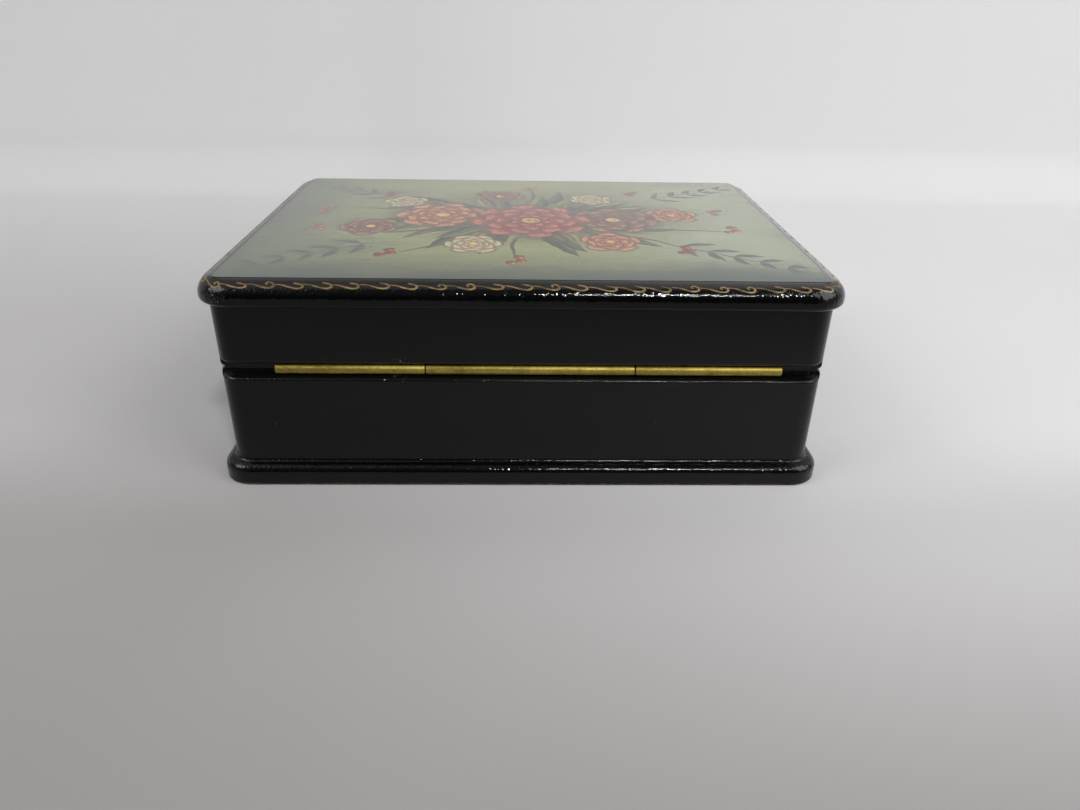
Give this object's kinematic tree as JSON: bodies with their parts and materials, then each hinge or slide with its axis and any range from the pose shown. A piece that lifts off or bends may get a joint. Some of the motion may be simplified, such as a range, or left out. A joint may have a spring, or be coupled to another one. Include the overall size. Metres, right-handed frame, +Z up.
{
  "type": "lacquer box",
  "caption": "Rounded rectangular black lacquer box with an overhanging crowned lid, a painted field inside a scroll border, and a long brass barrel hinge let into the back edge.",
  "frame": {"origin": "middle of the underside of the bottom board", "axes": "+X along the hinge, to the right as seen from the opening side; +Y towards the hinge at the back; +Z up"},
  "size_m": [0.1626, 0.1206, 0.0573],
  "materials": {
    "black_lacquer": "gloss",
    "red_lacquer": "gloss",
    "painted_lacquer": "gloss",
    "brass": "satin",
    "pin_brass": "satin"
  },
  "bodies": {
    "base": {"plinth_board": "black_lacquer", "base_wall": "black_lacquer", "rim_collar": "red_lacquer", "hinge_pin": "pin_brass", "left_knuckle": "brass", "right_knuckle": "brass", "left_leaf": "brass", "right_leaf": "brass", "base_leaf_pins": "pin_brass"},
    "lid": {"lid_wall": "black_lacquer", "lid_panel": "painted_lacquer", "centre_knuckle": "brass", "centre_leaf": "brass", "lid_leaf_pins": "pin_brass"}
  },
  "joints": [
    {"name": "lid_hinge", "type": "hinge", "parent": "base", "child": "lid", "pos_m": [0, 0.0557, 0.0326], "axis": [-1, 0, 0], "range_deg": [0, 120]}
  ]
}
